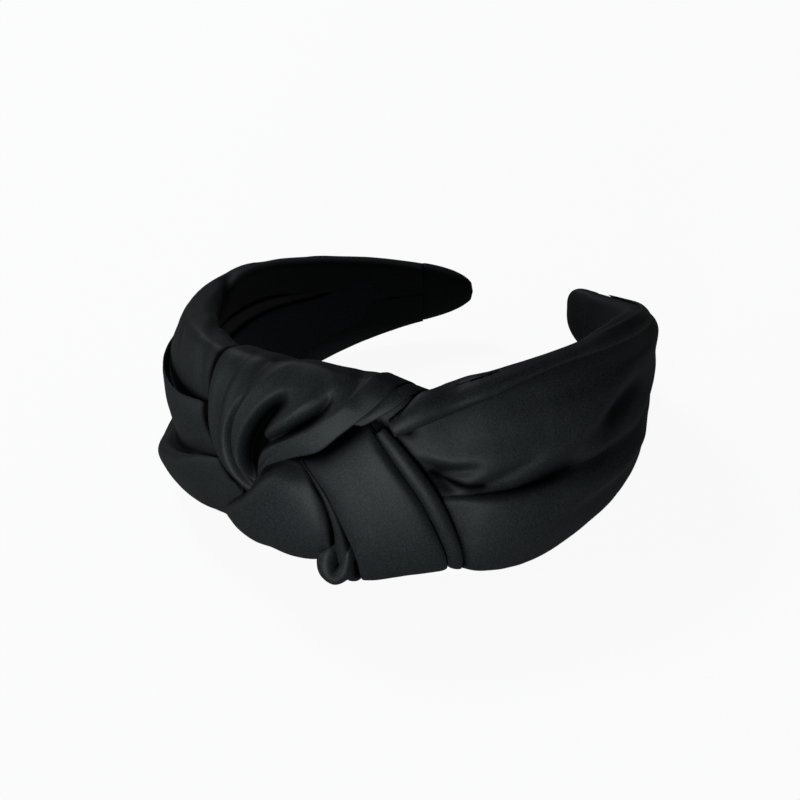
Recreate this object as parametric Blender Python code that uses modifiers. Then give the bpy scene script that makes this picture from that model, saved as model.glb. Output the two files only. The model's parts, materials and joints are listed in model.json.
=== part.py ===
"""Knotted satin headband, resting on the lower edges of its two arms. Metres, +Z up.

The hoop is a C in plan, open towards +Y, with the knot at the crown, towards -Y. Places on it are given
as an angle round the hoop's axis (0 at the crown, positive towards the right arm, +X), a radius from
the axis and a height along it. The arms are narrower below than above, so the band leans back as it
rests, with its knot clear of the table: the empty "band" holds that lean.
"""
import math

import bmesh
import bpy
from mathutils import Matrix, Vector

MM = 0.001

# Driving dimensions, in millimetres and degrees
HEAD_RADIUS = 68.0        # lining's inner face, which touches the head
HALF_ARC = 164.0          # crown to tip: 389 mm of hoop from tip to tip
# The dressed band's lower and upper edges, at these angles from the crown
EDGE_ANGLES = (0.0, 34.0, 54.0, 82.0, 115.0, 148.0, 164.0)
LOWER_EDGE = (1.9, 1.2, 0.6, 6.9, 15.8, 28.0, 34.0)
UPPER_EDGE = (63.0, 63.4, 64.3, 60.9, 57.1, 51.5, 48.5)
REST_LEAN = 10.8          # degrees that the hoop leans back on the table
FLOOR_AT_AXIS = 9.4       # height of the table's plane at the hoop's axis
TAPER_FROM, TAPER_TO = 75.0, 165.0
CROWN_THICKNESS = 13.2    # head face to outer crest
TIP_THICKNESS = 7.0

# Layers, from the head outwards
GAP = 0.3                 # between neighbouring pieces
LINING_THICKNESS = 0.8
HOOP_THICKNESS = 2.0
HOOP_WIDTH, HOOP_TIP_WIDTH = 36.0, 9.0
CLOTH = 1.2               # satin with its gathers
TIP_CLOTH = 0.7
LINING_SHARE = 0.68       # lining's width over the band's
RIM_DEPTH, TIP_RIM_DEPTH = 6.0, 3.6   # flat rim from the head face to where the outer curve starts

# Where each layer ends, and where the arms flex beside the knot
LINING_END = 150.0
SLEEVE_END = 150.0
FOAM_END = 148.5
HOOP_END = 155.0
TIP_FOLD_START = 150.6
LEFT_FLEX, RIGHT_FLEX = -24.0, 44.0
FLEX_CLEARANCE = 16.0     # degrees that an arm's end leaves free, so that it can open by 15
FLEX_RADIUS = HEAD_RADIUS + LINING_THICKNESS + GAP + HOOP_THICKNESS / 2

# The knot's layers above the crown's satin
GLUE_THICKNESS = 0.6
KNOT_FLOOR = 2 * GAP + GLUE_THICKNESS
KNOT_EDGE = 1.6           # thickness of a wrap at its edges


def smoothstep(low, high, value):
    share = min(1.0, max(0.0, (value - low) / (high - low)))
    return share * share * (3 - 2 * share)


def mixed(at_crown, at_tip, angle):
    """A size that changes from the crown's to the tip's along the taper."""
    return at_crown + (at_tip - at_crown) * smoothstep(TAPER_FROM, TAPER_TO, abs(angle))


def edge_height(edge, angle):
    """The smooth curve through an edge's heights, level at the crown."""
    stations = list(zip(EDGE_ANGLES, edge))
    stations = [(-stations[1][0], stations[1][1])] + stations
    stations.append([2 * end - inner for end, inner in zip(stations[-1], stations[-2])])
    place_on, index = abs(angle), 1
    while index < len(stations) - 3 and place_on > stations[index + 1][0]:
        index += 1
    (a0, h0), (a1, h1), (a2, h2), (a3, h3) = stations[index - 1:index + 3]
    span, local = a2 - a1, (place_on - a1) / (a2 - a1)
    slope1, slope2 = (h2 - h0) / (a2 - a0) * span, (h3 - h1) / (a3 - a1) * span
    cube, square = local ** 3, local ** 2
    return (h1 * (2 * cube - 3 * square + 1) + slope1 * (cube - 2 * square + local)
            + h2 * (3 * square - 2 * cube) + slope2 * (cube - square))


def band_width(angle):
    return edge_height(UPPER_EDGE, angle) - edge_height(LOWER_EDGE, angle)


def mid_height(angle):
    return (edge_height(UPPER_EDGE, angle) + edge_height(LOWER_EDGE, angle)) / 2




def hoop_width(angle):
    return HOOP_WIDTH + (HOOP_TIP_WIDTH - HOOP_WIDTH) * smoothstep(35.0, TAPER_TO, abs(angle))


def rim_radius(angle):
    return HEAD_RADIUS + mixed(RIM_DEPTH, TIP_RIM_DEPTH, angle)


def crest_height(angle):
    """How far the outer curve stands over the rim."""
    return HEAD_RADIUS + mixed(CROWN_THICKNESS, TIP_THICKNESS, angle) - rim_radius(angle)


def over_satin(angle, height, lift):
    """The place lifted off the satin's outer face, square to it. Heights beyond an edge go on over it,
    towards the head."""
    half, rise = band_width(angle) / 2, crest_height(angle)
    across = (height - mid_height(angle)) / half
    beyond = max(0.0, abs(across) - 1) * half
    across = max(-1.0, min(1.0, across))
    up = math.sqrt(1 - across * across)
    slope = math.hypot(half * up, rise * across)
    radius = rim_radius(angle) + rise * up + lift * half * up / slope - beyond
    return place(angle, radius, mid_height(angle) + half * across + lift * rise * across / slope)


def place(angle, radius, height):
    turn = math.radians(angle)
    return Vector((radius * math.sin(turn), -radius * math.cos(turn), height)) * MM


def above_table(angle, radius, height, clear=0.0):
    """The place, raised if need be to stand clear of the table."""
    back = -radius * math.cos(math.radians(angle))
    table = FLOOR_AT_AXIS + back * math.tan(math.radians(REST_LEAN))
    return place(angle, radius, max(height, table + clear))


def steps(first, last, count):
    return [first + (last - first) * i / (count - 1) for i in range(count)]


def satin_material(name, colour, roughness):
    material = bpy.data.materials.new(name)
    material.use_nodes = True
    shader = material.node_tree.nodes["Principled BSDF"]
    shader.inputs["Base Color"].default_value = (*colour, 1.0)
    shader.inputs["Roughness"].default_value = roughness
    shader.inputs["Metallic"].default_value = 0.0
    material.diffuse_color = (*colour, 1.0)
    return material


def finish(name, mesh, material, parent):
    """Makes the mesh a named, smooth-shaded object under the band's empty."""
    obj = bpy.data.objects.new(name, mesh)
    COLLECTION.objects.link(obj)
    obj.parent = parent
    obj.matrix_parent_inverse = Matrix.Translation(-parent.location)
    mesh.materials.append(material)
    mesh.shade_smooth()
    mesh.set_sharp_from_angle(angle=math.radians(40))
    return obj


def sheet(name, rows, thickness, material, parent, closed=False):
    """An open surface through rows of points, thickened away from its outer face by Solidify.
    closed joins each row's last point to its first."""
    work = bmesh.new()
    grid = [[work.verts.new(point) for point in row] for row in rows]
    for near, far in zip(grid, grid[1:]):
        for i in range(len(near) if closed else len(near) - 1):
            j = (i + 1) % len(near)
            work.faces.new((near[i], near[j], far[j], far[i]))
    if closed:
        work.faces.new(grid[-1])
    mesh = bpy.data.meshes.new(name)
    work.to_mesh(mesh)
    work.free()
    obj = finish(name, mesh, material, parent)
    shell = obj.modifiers.new("cloth", "SOLIDIFY")
    shell.thickness = thickness * MM
    shell.offset = -1.0
    shell.use_even_offset = True
    return obj


def loft(name, sections, material, parent):
    """A closed solid through unlike sections, each a closed ring of the same number of points."""
    work = bmesh.new()
    rings = [[work.verts.new(point) for point in section] for section in sections]
    for near, far in zip(rings, rings[1:]):
        for i in range(len(near)):
            j = (i + 1) % len(near)
            work.faces.new((near[i], near[j], far[j], far[i]))
    work.faces.new(rings[0])
    work.faces.new(rings[-1])
    bmesh.ops.recalc_face_normals(work, faces=work.faces[:])
    mesh = bpy.data.meshes.new(name)
    work.to_mesh(mesh)
    work.free()
    return finish(name, mesh, material, parent)


# The hoop, its padding and its lining

def flat_strip(name, end, inner_radius, thickness, width_at, material, parent):
    """A strip bent round the head, from tip to tip, whose two faces are parts of cylinders."""
    sections = []
    for angle in steps(-end, end, 56):
        low = mid_height(angle) - width_at(angle) / 2
        high = mid_height(angle) + width_at(angle) / 2
        inner, outer = inner_radius, inner_radius + thickness
        corners = ((inner, low), (inner, high), (outer, high), (outer, low))
        sections.append([place(angle, radius, height) for radius, height in corners])
    return loft(name, sections, material, parent)


def foam_pad(material, parent):
    """Crowned foam between the hoop and the satin."""
    inner = HEAD_RADIUS + LINING_THICKNESS + HOOP_THICKNESS + 2 * GAP
    clear = CLOTH + GAP + 0.1
    sections = []
    for angle in steps(-FOAM_END, FOAM_END, 57):
        middle, half = mid_height(angle), band_width(angle) / 2 - clear
        rim = rim_radius(angle) - 0.6 * clear
        rise = crest_height(angle) - 0.4 * clear
        section = [above_table(angle, inner, middle - half, clear), place(angle, inner, middle + half)]
        for turn in steps(0.0, 180.0, 11):
            across, up = math.cos(math.radians(turn)), math.sin(math.radians(turn))
            section.append(above_table(angle, rim + rise * up, middle + half * across, clear))
        sections.append(section)
    return loft("foam_pad", sections, material, parent)


# The satin: a cover at the crown, a sleeve on each arm and a fold over each tip

def satin_section(angle):
    """(radius, height) along the satin's outer face: turned edge, rim, outer curve, rim, turned edge."""
    middle, half = mid_height(angle), band_width(angle) / 2
    turned = HEAD_RADIUS + LINING_THICKNESS + GAP
    edge = hoop_width(angle) / 2 + 0.6
    side = [(turned, edge), (turned, half - 1.2), (turned + 0.8, half), (rim_radius(angle), half)]
    low = [(radius, middle - offset) for radius, offset in side]
    high = [(radius, middle + offset) for radius, offset in reversed(side)]
    curve = []
    for turn in steps(0.0, 180.0, 13)[1:-1]:
        across, up = -math.cos(math.radians(turn)), math.sin(math.radians(turn))
        curve.append((rim_radius(angle) + crest_height(angle) * up, middle + half * across))
    return low + curve + high


def cover(name, angles, material, parent, flex=None):
    """Satin over the given angles. With flex, the first end slopes away from the flex line, outwards."""
    outwards = 1 if flex is None or flex > 0 else -1
    rows = []
    for index, angle in enumerate(angles):
        row = []
        for radius, height in satin_section(angle):
            slope = 0.0
            if flex is not None and index < 4:
                free = max(0.0, radius - FLEX_RADIUS) * math.tan(math.radians(FLEX_CLEARANCE))
                slope = outwards * math.degrees(free / radius) * (1 - index / 4)
            row.append(above_table(angle + slope, radius, height))
        rows.append(row)
    if outwards > 0:
        rows.reverse()
    return sheet(name, rows, CLOTH, material, parent)


def tip_fold(name, side, material, parent):
    """A thimble of satin turned over the hoop's end. side is 1 on the right arm, -1 on the left."""
    rows = []
    for share in (0.0, 0.2, 0.4, 0.6, 0.75, 0.87, 0.95):
        angle = side * (TIP_FOLD_START + (HALF_ARC - TIP_FOLD_START) * share)
        scale = (1 - share ** 3) ** (1 / 3)
        inner, outer = HEAD_RADIUS, rim_radius(angle) + crest_height(angle)
        centre, reach = (inner + outer) / 2, (outer - inner) / 2 * scale
        half = band_width(angle) / 2 * scale
        row = []
        for turn in steps(0.0, 360.0, 25)[:-1]:
            across, up = math.cos(math.radians(turn)), math.sin(math.radians(turn))
            squared = [math.copysign(abs(value) ** 0.7, value) for value in (across, up)]
            row.append(place(angle, centre + reach * squared[1], mid_height(angle) - half * squared[0]))
        if side > 0:
            row.reverse()
        rows.append(row)
    return sheet(name, rows, TIP_CLOTH, material, parent, closed=True)


# The knot

def along(points, share):
    """The smooth curve through a rail's (angle, height) points, at a share of its length."""
    position = share * (len(points) - 1)
    index = min(int(position), len(points) - 2)
    local = position - index
    before = points[max(index - 1, 0)]
    after = points[min(index + 2, len(points) - 1)]
    result = []
    for p0, p1, p2, p3 in zip(before, points[index], points[index + 1], after):
        result.append(
            0.5 * (2 * p1 + (p2 - p0) * local + (2 * p0 - 5 * p1 + 4 * p2 - p3) * local ** 2
                   + (3 * p1 - p0 - 3 * p2 + p3) * local ** 3)
        )
    return result


def wrap(name, first_rail, second_rail, crown, material, parent, floor=KNOT_FLOOR, edge=KNOT_EDGE,
         rows=19, columns=9):
    """One pass of cloth over the crown's satin, between two rails, thickest along its middle. Its
    sections stand closer at the ends, where it turns over the band's edges."""
    sections = []
    for turn in steps(0.0, 180.0, rows):
        share = 0.5 - 0.5 * math.cos(math.radians(turn))
        first, second = along(first_rail, share), along(second_rail, share)
        top, bottom = [], []
        for across in steps(0.0, 1.0, columns):
            angle = first[0] + (second[0] - first[0]) * across
            height = first[1] + (second[1] - first[1]) * across
            arch = edge + (crown - edge) * math.sqrt(max(0.0, 1 - (2 * across - 1) ** 2))
            top.append(over_satin(angle, height, floor + arch))
            bottom.append(over_satin(angle, height, floor))
        sections.append(top + bottom[::-1])
    return loft(name, sections, material, parent)


def knot(material, glue, parent):
    """The knot's passes of cloth, as (angle, height) rails, and the two pads of glue under them."""
    wrap("knot_over_wrap",
         [(-8.0, 27.0), (-17.0, 34.0), (-20.5, 45.0), (-20.5, 56.0), (-19.5, 66.5)],
         [(-5.5, 31.0), (-1.0, 38.0), (10.0, 43.8), (18.5, 52.5), (30.5, 66.0)],
         6.0, material, parent)
    wrap("knot_under_strip",
         [(21.5, 54.6), (26.5, 60.0), (32.4, 65.6)],
         [(23.4, 53.9), (29.5, 58.4), (35.2, 65.0)],
         2.2, material, parent, columns=5)
    wrap("knot_front_wrap",
         [(20.3, 5.0), (18.9, 12.0), (16.0, 21.0), (12.0, 30.8), (7.8, 40.2)],
         [(37.6, 5.0), (35.2, 18.0), (31.0, 30.5), (25.6, 43.0), (20.6, 51.2)],
         5.0, material, parent)
    wrap("knot_front_hem",
         [(15.2, 10.5), (14.2, 18.0), (11.0, 28.8), (5.6, 38.2)],
         [(18.0, 10.8), (15.3, 20.6), (11.4, 30.2), (6.9, 39.6)],
         3.2, material, parent, columns=5)
    wrap("knot_side_roll",
         [(38.6, 6.0), (36.1, 18.0), (32.0, 30.5), (26.6, 43.0), (22.3, 51.6)],
         [(41.8, 6.0), (39.6, 19.0), (35.9, 31.0), (29.9, 44.0), (24.9, 51.8)],
         4.6, material, parent, columns=7)
    wrap("knot_puff",
         [(-6.3, 26.5), (-10.4, 21.0), (-8.5, 15.0), (-1.0, 10.6), (6.0, 10.0), (11.2, 11.5)],
         [(-4.4, 28.6), (-1.2, 34.0), (4.0, 35.6), (9.0, 30.2), (12.6, 22.0), (13.3, 15.0)],
         6.4, material, parent)
    wrap("knot_top_roll",
         [(26.6, 51.4), (30.5, 54.4), (34.7, 57.8), (38.5, 60.6), (43.0, 62.0)],
         [(25.2, 54.0), (30.2, 57.4), (35.6, 61.8), (39.5, 64.3), (43.0, 66.0)],
         3.4, material, parent, columns=7)
    wrap("knot_curl",
         [(10.6, 9.8), (10.8, 7.4), (13.0, 6.0), (15.6, 5.6)],
         [(13.2, 9.9), (13.4, 9.0), (14.6, 8.6), (17.0, 8.8)],
         4.2, material, parent, columns=7)
    wrap("knot_glue_upper", [(-4.0, 47.0), (-4.0, 57.0)], [(15.0, 52.0), (17.0, 59.0)],
         GLUE_THICKNESS, glue, parent, floor=GAP, edge=GLUE_THICKNESS, rows=5, columns=7)
    wrap("knot_glue_lower", [(21.0, 12.0), (18.0, 30.0)], [(32.0, 12.0), (28.0, 30.0)],
         GLUE_THICKNESS, glue, parent, floor=GAP, edge=GLUE_THICKNESS, rows=5, columns=7)


def centre_footprint(parent):
    """Moves the band so that its footprint's centre is the origin, with its lowest edge at height 0."""
    bpy.context.view_layer.update()
    graph = bpy.context.evaluated_depsgraph_get()
    corners = []
    for obj in COLLECTION.objects:
        if obj.type == "MESH":
            solid = obj.evaluated_get(graph)
            corners += [solid.matrix_world @ vertex.co for vertex in solid.data.vertices]
    low = Vector([min(corner[axis] for corner in corners) for axis in range(3)])
    high = Vector([max(corner[axis] for corner in corners) for axis in range(3)])
    parent.location += Vector((-(low.x + high.x) / 2, -(low.y + high.y) / 2, -low.z))


def flex_empty(name, angle, band):
    """An empty on the axis that an arm flexes about, for the arm's pieces."""
    empty = bpy.data.objects.new(name, None)
    COLLECTION.objects.link(empty)
    empty.parent = band
    empty.location = place(angle, FLEX_RADIUS, mid_height(0.0))
    return empty


def main():
    band = bpy.data.objects.new("band", None)
    COLLECTION.objects.link(band)
    band.rotation_euler.x = -math.radians(REST_LEAN)
    satin = satin_material("satin", (0.018, 0.019, 0.022), 0.42)
    lining = satin_material("lining", (0.014, 0.016, 0.019), 0.6)
    plastic = satin_material("hoop_plastic", (0.03, 0.03, 0.03), 0.4)
    foam = satin_material("foam", (0.55, 0.55, 0.52), 0.95)
    glue = satin_material("glue", (0.75, 0.72, 0.62), 0.3)

    hoop_inner = HEAD_RADIUS + LINING_THICKNESS + GAP
    flat_strip("lining_strip", LINING_END, HEAD_RADIUS, LINING_THICKNESS,
               lambda angle: LINING_SHARE * band_width(angle), lining, band)
    flat_strip("hoop_core", HOOP_END, hoop_inner, HOOP_THICKNESS, hoop_width, plastic, band)
    foam_pad(foam, band)
    cover("crown_cover", steps(LEFT_FLEX + 0.4, RIGHT_FLEX - 0.4, 18), satin, band)
    left_arm = flex_empty("left_arm", LEFT_FLEX, band)
    right_arm = flex_empty("right_arm", RIGHT_FLEX, band)
    cover("left_sleeve", steps(LEFT_FLEX - 0.4, -SLEEVE_END, 34), satin, left_arm, flex=LEFT_FLEX)
    cover("right_sleeve", steps(RIGHT_FLEX + 0.4, SLEEVE_END, 29), satin, right_arm, flex=RIGHT_FLEX)
    tip_fold("left_tip_fold", -1, satin, left_arm)
    tip_fold("right_tip_fold", 1, satin, right_arm)
    knot(satin, glue, band)
    centre_footprint(band)


for old in list(bpy.data.objects):
    bpy.data.objects.remove(old)
COLLECTION = bpy.data.collections.new("knotted_headband")
bpy.context.scene.collection.children.link(COLLECTION)
main()
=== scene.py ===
"""Looks of the knotted satin headband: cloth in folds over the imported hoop.

Places on the band are given as an angle round the hoop (degrees from the crown, positive to the right arm),
a height along the hoop's axis and a lift off the padded surface, both in millimetres. A height past the
band's edge goes on over the edge and down the inner face. The frame's joints say where the hoop stands.
"""
import json
import math

import bmesh
import bpy
import numpy as np
from mathutils import Matrix, Vector, noise

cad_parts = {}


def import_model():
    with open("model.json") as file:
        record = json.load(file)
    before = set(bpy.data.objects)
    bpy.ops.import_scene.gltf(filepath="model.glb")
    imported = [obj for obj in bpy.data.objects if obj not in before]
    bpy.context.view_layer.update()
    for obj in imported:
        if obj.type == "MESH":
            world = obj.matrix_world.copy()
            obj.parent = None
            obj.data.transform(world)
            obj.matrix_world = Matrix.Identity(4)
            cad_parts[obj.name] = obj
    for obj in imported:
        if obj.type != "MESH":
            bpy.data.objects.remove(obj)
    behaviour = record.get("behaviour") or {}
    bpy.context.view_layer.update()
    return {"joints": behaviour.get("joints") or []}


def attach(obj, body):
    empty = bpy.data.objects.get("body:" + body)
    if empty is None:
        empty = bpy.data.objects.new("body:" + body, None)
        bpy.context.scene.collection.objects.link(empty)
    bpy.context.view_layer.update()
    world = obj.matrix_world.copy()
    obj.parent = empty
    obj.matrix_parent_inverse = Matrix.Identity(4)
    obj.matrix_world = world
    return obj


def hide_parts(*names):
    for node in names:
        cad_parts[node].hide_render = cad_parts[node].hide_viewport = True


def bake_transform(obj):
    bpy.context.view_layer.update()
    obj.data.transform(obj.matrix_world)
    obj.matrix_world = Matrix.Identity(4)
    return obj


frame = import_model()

MM = 0.001

# The hoop, as the CAD model has it
HEAD_RADIUS = 68.0
HALF_ARC = 164.0
CROWN_THICKNESS, TIP_THICKNESS = 13.2, 7.0
RIM_DEPTH, TIP_RIM_DEPTH = 6.0, 3.6
TAPER_FROM, TAPER_TO = 75.0, 165.0
EDGE_ANGLES = (-164.0, -148.0, -115.0, -98.0, -82.0, -68.0, -54.0, -40.0, -20.0, 0.0, 8.0, 13.0, 18.0, 30.0,
               37.0, 46.0, 57.0, 71.0, 84.0, 98.0, 115.0, 148.0, 164.0)
LOWER_EDGE = (34.0, 28.0, 15.8, 10.2, 5.0, 1.2, 1.4, 3.9, 7.2, 5.8, 4.6, 1.4, 0.6, 3.8,
              4.8, 1.9, 2.1, 6.6, 10.4, 14.4, 18.4, 28.6, 33.6)
UPPER_EDGE = (48.5, 51.5, 56.9, 59.8, 59.8, 59.4, 60.6, 62.0, 63.0, 63.6, 64.0, 63.6, 63.0, 59.6,
              57.6, 60.6, 63.2, 65.8, 68.2, 67.6, 62.4, 53.0, 51.0)
FLEX_ANGLE, FLEX_RADIUS, MID_HEIGHT = -24.0, 70.1, 32.45
HOOP_WIDTH, HOOP_TIP_WIDTH, HOOP_HALF = 36.0, 9.0, 1.0
CORNER = 2.6              # radius of the band's inner corners
DEGREE = 1.42             # length of a degree along the padded surface
SPACING = np.array([1.4, 1.0, 1.0])     # weights of angle, height and lift when points are spaced evenly
PATH_PLACES = 48          # places at which a crease's path is measured
EDGE_MARGIN = 0.05        # heights nearer than this to an edge count as past it
SIDES = {-1: "left", 1: "right"}
TABLE_CLEARANCE = 0.35
HOLLOW_DEPTH = 2.5        # depth below its surroundings at which a fold gets the full painted shade
PRESSED_DEPTH = 4.6       # depth below the open sheet at which a pressed fold gets the full painted shade
LINING_SHARE = 0.74       # share of the band's width that the ribbon covers
CURL_RADIUS = 77.4        # back of the curled end, off the hoop's axis


# ---------------------------------------------------------------- the hoop's place in the frame

def hoop_placement():
    """The matrix from the hoop's own axes to the frame's, read from the left arm's joint."""
    joint = next(j for j in frame["joints"] if j["name"] == "left_arm_flex")
    axis = Vector(joint["axis"])
    turn = Matrix.Rotation(-math.atan2(axis.y, axis.z), 4, "X")
    angle = math.radians(FLEX_ANGLE)
    pivot = Vector((FLEX_RADIUS * math.sin(angle), -FLEX_RADIUS * math.cos(angle), MID_HEIGHT)) * MM
    return Matrix.Translation(Vector(joint["pos_m"]) - turn @ pivot) @ turn


HOOP = hoop_placement()
HOOP_ROWS = np.array(HOOP)


def above_table(points):
    """The points, raised where need be to stand clear of the table."""
    up = HOOP_ROWS[2, :3]
    under = np.minimum((points @ up) + HOOP_ROWS[2, 3] / MM - TABLE_CLEARANCE, 0)
    return points - under[..., None] * up


def to_frame(points):
    """Millimetres on the hoop's axes to metres on the frame's."""
    return (np.asarray(points) * MM) @ HOOP_ROWS[:3, :3].T + HOOP_ROWS[:3, 3]


# ---------------------------------------------------------------- the band's surface

def curve(values, at, points):
    """Catmull-Rom curve through (at, values), read at points."""
    at, values, points = np.asarray(at, float), np.asarray(values, float), np.asarray(points, float)
    slopes = np.gradient(values, at)
    index = np.clip(np.searchsorted(at, points) - 1, 0, len(at) - 2)
    span = at[index + 1] - at[index]
    local = np.clip((points - at[index]) / span, 0, 1)
    square, cube = local ** 2, local ** 3
    return (values[index] * (2 * cube - 3 * square + 1) + slopes[index] * span * (cube - 2 * square + local)
            + values[index + 1] * (3 * square - 2 * cube) + slopes[index + 1] * span * (cube - square))


def smoothstep(low, high, value):
    """From 0 at low to 1 at high, with no corner at either."""
    share = np.clip((value - low) / (high - low), 0, 1)
    return share * share * (3 - 2 * share)


def taper(at_crown, at_tip, angle):
    """A size that runs from the crown's to the tips'."""
    return at_crown + (at_tip - at_crown) * smoothstep(TAPER_FROM, TAPER_TO, np.abs(angle))


def lower_edge(angle):
    return curve(LOWER_EDGE, EDGE_ANGLES, angle)


def upper_edge(angle):
    return curve(UPPER_EDGE, EDGE_ANGLES, angle)


def middle_and_half(angle):
    """The height of the band's middle, and half its width."""
    low, high = float(lower_edge(angle)), float(upper_edge(angle))
    return (low + high) / 2, (high - low) / 2


class Band:
    """The padded band's surface, as sections at every degree: radius, height and outward direction for a
    girth share from -1 (middle of the inner face, by way of the lower edge) to 1 (the same, by way of the
    upper edge), with 0 at the middle of the outer face."""

    SHARES = np.linspace(-1, 1, 401)

    def __init__(self):
        self.angles = np.arange(-170.0, 171.0)
        self.table, self.half_girth = [], []
        for angle in self.angles:
            self.add_section(angle)
        self.table = np.array(self.table)
        self.half_girth = np.array(self.half_girth)

    def add_section(self, angle):
        middle, half = middle_and_half(angle)
        rim = HEAD_RADIUS + float(taper(RIM_DEPTH, TIP_RIM_DEPTH, angle))
        rise = HEAD_RADIUS + float(taper(CROWN_THICKNESS, TIP_THICKNESS, angle)) - rim
        turn = np.linspace(0, math.pi / 2, 120)
        outer = np.stack([rim + rise * np.cos(turn), half * np.sin(turn)], -1)
        corner = min(CORNER, 0.4 * half)
        bend = np.linspace(0, math.pi / 2, 24)
        inner = np.stack([HEAD_RADIUS + corner - corner * np.sin(bend),
                          half - corner + corner * np.cos(bend)], -1)
        path = np.concatenate([outer, inner, [[HEAD_RADIUS, 0.0]]])
        length = np.concatenate([[0], np.cumsum(np.linalg.norm(np.diff(path, axis=0), axis=1))])
        self.half_girth.append(length[-1])
        shares = np.abs(self.SHARES) * length[-1]
        radius = np.interp(shares, length, path[:, 0])
        height = np.interp(shares, length, path[:, 1]) * np.sign(self.SHARES)
        along = np.gradient(np.stack([radius, height], -1), axis=0)
        along /= np.linalg.norm(along, axis=1)[:, None]
        across = np.stack([along[:, 1], -along[:, 0]], -1)
        across = np.stack([np.convolve(np.pad(a, 9, mode="edge"), np.ones(19) / 19, "valid")
                           for a in across.T], -1)
        across /= np.linalg.norm(across, axis=1)[:, None]
        self.table.append(np.column_stack([radius, height + middle, across]))

    def outside(self, angle):
        """The girth at which the band's outer side ends."""
        return np.interp(angle, self.angles, self.half_girth - (upper_edge(self.angles)
                                                                - lower_edge(self.angles)) / 2)

    def girth(self, angle, height):
        """The girth, in mm from the middle of the outer face, of a height at an angle."""
        low, high = float(lower_edge(angle)) + EDGE_MARGIN, float(upper_edge(angle)) - EDGE_MARGIN
        row = int(round(angle - self.angles[0]))
        column = self.table[row]
        outside = column[:, 0] > HEAD_RADIUS + RIM_DEPTH * 0.6
        girth = np.interp(np.clip(height, low, high), column[outside, 1],
                          self.SHARES[outside] * self.half_girth[row])
        girth += max(height - high, 0) - max(low - height, 0)
        return float(girth)

    def points(self, angle, girth, lift):
        """Points in the hoop's millimetres for arrays of angle, girth and lift."""
        place = np.clip(angle - self.angles[0], 0, len(self.angles) - 1.001)
        row = place.astype(int)
        share_row = (place - row)[..., None]
        total = np.interp(angle, self.angles, self.half_girth)
        column = (np.clip(girth / total, -0.9999, 0.9999) + 1) * (len(self.SHARES) - 1) / 2
        left = column.astype(int)
        share = (column - left)[..., None]
        near = self.table[row, left] * (1 - share) + self.table[row, left + 1] * share
        far = self.table[row + 1, left] * (1 - share) + self.table[row + 1, left + 1] * share
        found = near * (1 - share_row) + far * share_row
        radius = found[..., 0] + lift * found[..., 2]
        turn = np.radians(angle)
        return np.stack([radius * np.sin(turn), -radius * np.cos(turn), found[..., 1] + lift * found[..., 3]],
                        -1)


BAND = Band()


# ---------------------------------------------------------------- cloth

def resample(points, count, detail=12, least=1e-6):
    """count points along the smooth curve through the given rows, evenly spaced by its length."""
    points = np.asarray(points, float)
    if len(points) == 2:
        return points[0] + (points[1] - points[0]) * np.linspace(0, 1, count)[:, None]
    spacing = SPACING[:points.shape[1]]
    gaps = np.linalg.norm(np.diff(points * spacing, axis=0), axis=1)
    at = np.concatenate([[0], np.cumsum(np.sqrt(gaps) + least)])
    fine = np.linspace(0, at[-1], detail * len(points))
    dense = np.stack([curve(column, at, fine) for column in points.T], -1)
    steps = np.linalg.norm(np.diff(dense * spacing, axis=0), axis=1)
    length = np.concatenate([[0], np.cumsum(steps)])
    even = np.linspace(0, length[-1], count)
    return np.stack([np.interp(even, length, column) for column in dense.T], -1)


def across_rails(rails, count):
    """A smooth surface across rails, each an array of the same number of points: rows x count x 3."""
    rails = np.asarray(rails)
    return np.array([resample(rails[:, row], count, 14, 1e-4) for row in range(rails.shape[1])])


def laid(rails, along, across):
    """Rails of (angle, height, lift) to a grid of (angle, girth, lift)."""
    converted = []
    for rail in rails:
        points = np.array([(a, BAND.girth(a, h), l) for a, h, l in rail])
        converted.append(resample(points, along))
    return across_rails(converted, across)


def beside(grid, path, left, right):
    """Which points of a sheet are near a path of (angle, height), the nearest of the path's places to
    each, and how close they are, from 0 to 1, over a width to the left and right of the way it runs."""
    scale = np.array([DEGREE, 1.0])
    way = resample([(a, BAND.girth(a, h)) for a, h in path], PATH_PLACES) * scale
    heading = np.gradient(way, axis=0)
    heading /= np.linalg.norm(heading, axis=1)[:, None]
    reach = 3 * max(left, right)
    spots = grid[..., :2] * scale
    near = ((spots > way.min(axis=0) - reach) & (spots < way.max(axis=0) + reach)).all(axis=-1)
    apart = spots[near][:, None, :] - way
    nearest = (apart ** 2).sum(-1).argmin(-1)
    offset = apart[np.arange(len(nearest)), nearest]
    ahead = heading[nearest]
    side = ahead[:, 0] * offset[:, 1] - ahead[:, 1] * offset[:, 0]
    width = np.where(side > 0, left, right)
    return near, nearest, np.exp(-(np.linalg.norm(offset, axis=-1) / width) ** 2)


def pressed(grid, creases, least):
    """The sheet with folds pressed into it. Each is a path of (angle, height), a depth, and the widths of
    its slopes to the left and right of the way it runs. A negative depth raises a ridge. The folds leave
    the sheet at least that far off the padding. The grid's fourth value is how much shade is painted on it
    for the fold's depth."""
    grid = np.concatenate([grid, grid[..., 2:]], axis=-1)
    limit = np.minimum(grid[..., 2], least)
    fade = np.sin(np.linspace(0.03, math.pi - 0.03, PATH_PLACES)) ** 0.7
    for path, depth, left, right in creases:
        near, nearest, close = beside(grid, path, left, right)
        grid[near, 2] -= depth * fade[nearest] * close
    grid[..., 2] = blurred(blurred(np.maximum(grid[..., 2], limit), 1), 2)
    # painted shade: the deeper a fold is pressed, the darker the cloth's colour is painted there
    grid[..., 3] = np.clip((grid[..., 3] - grid[..., 2]) / PRESSED_DEPTH, 0, 1)
    return grid


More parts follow.
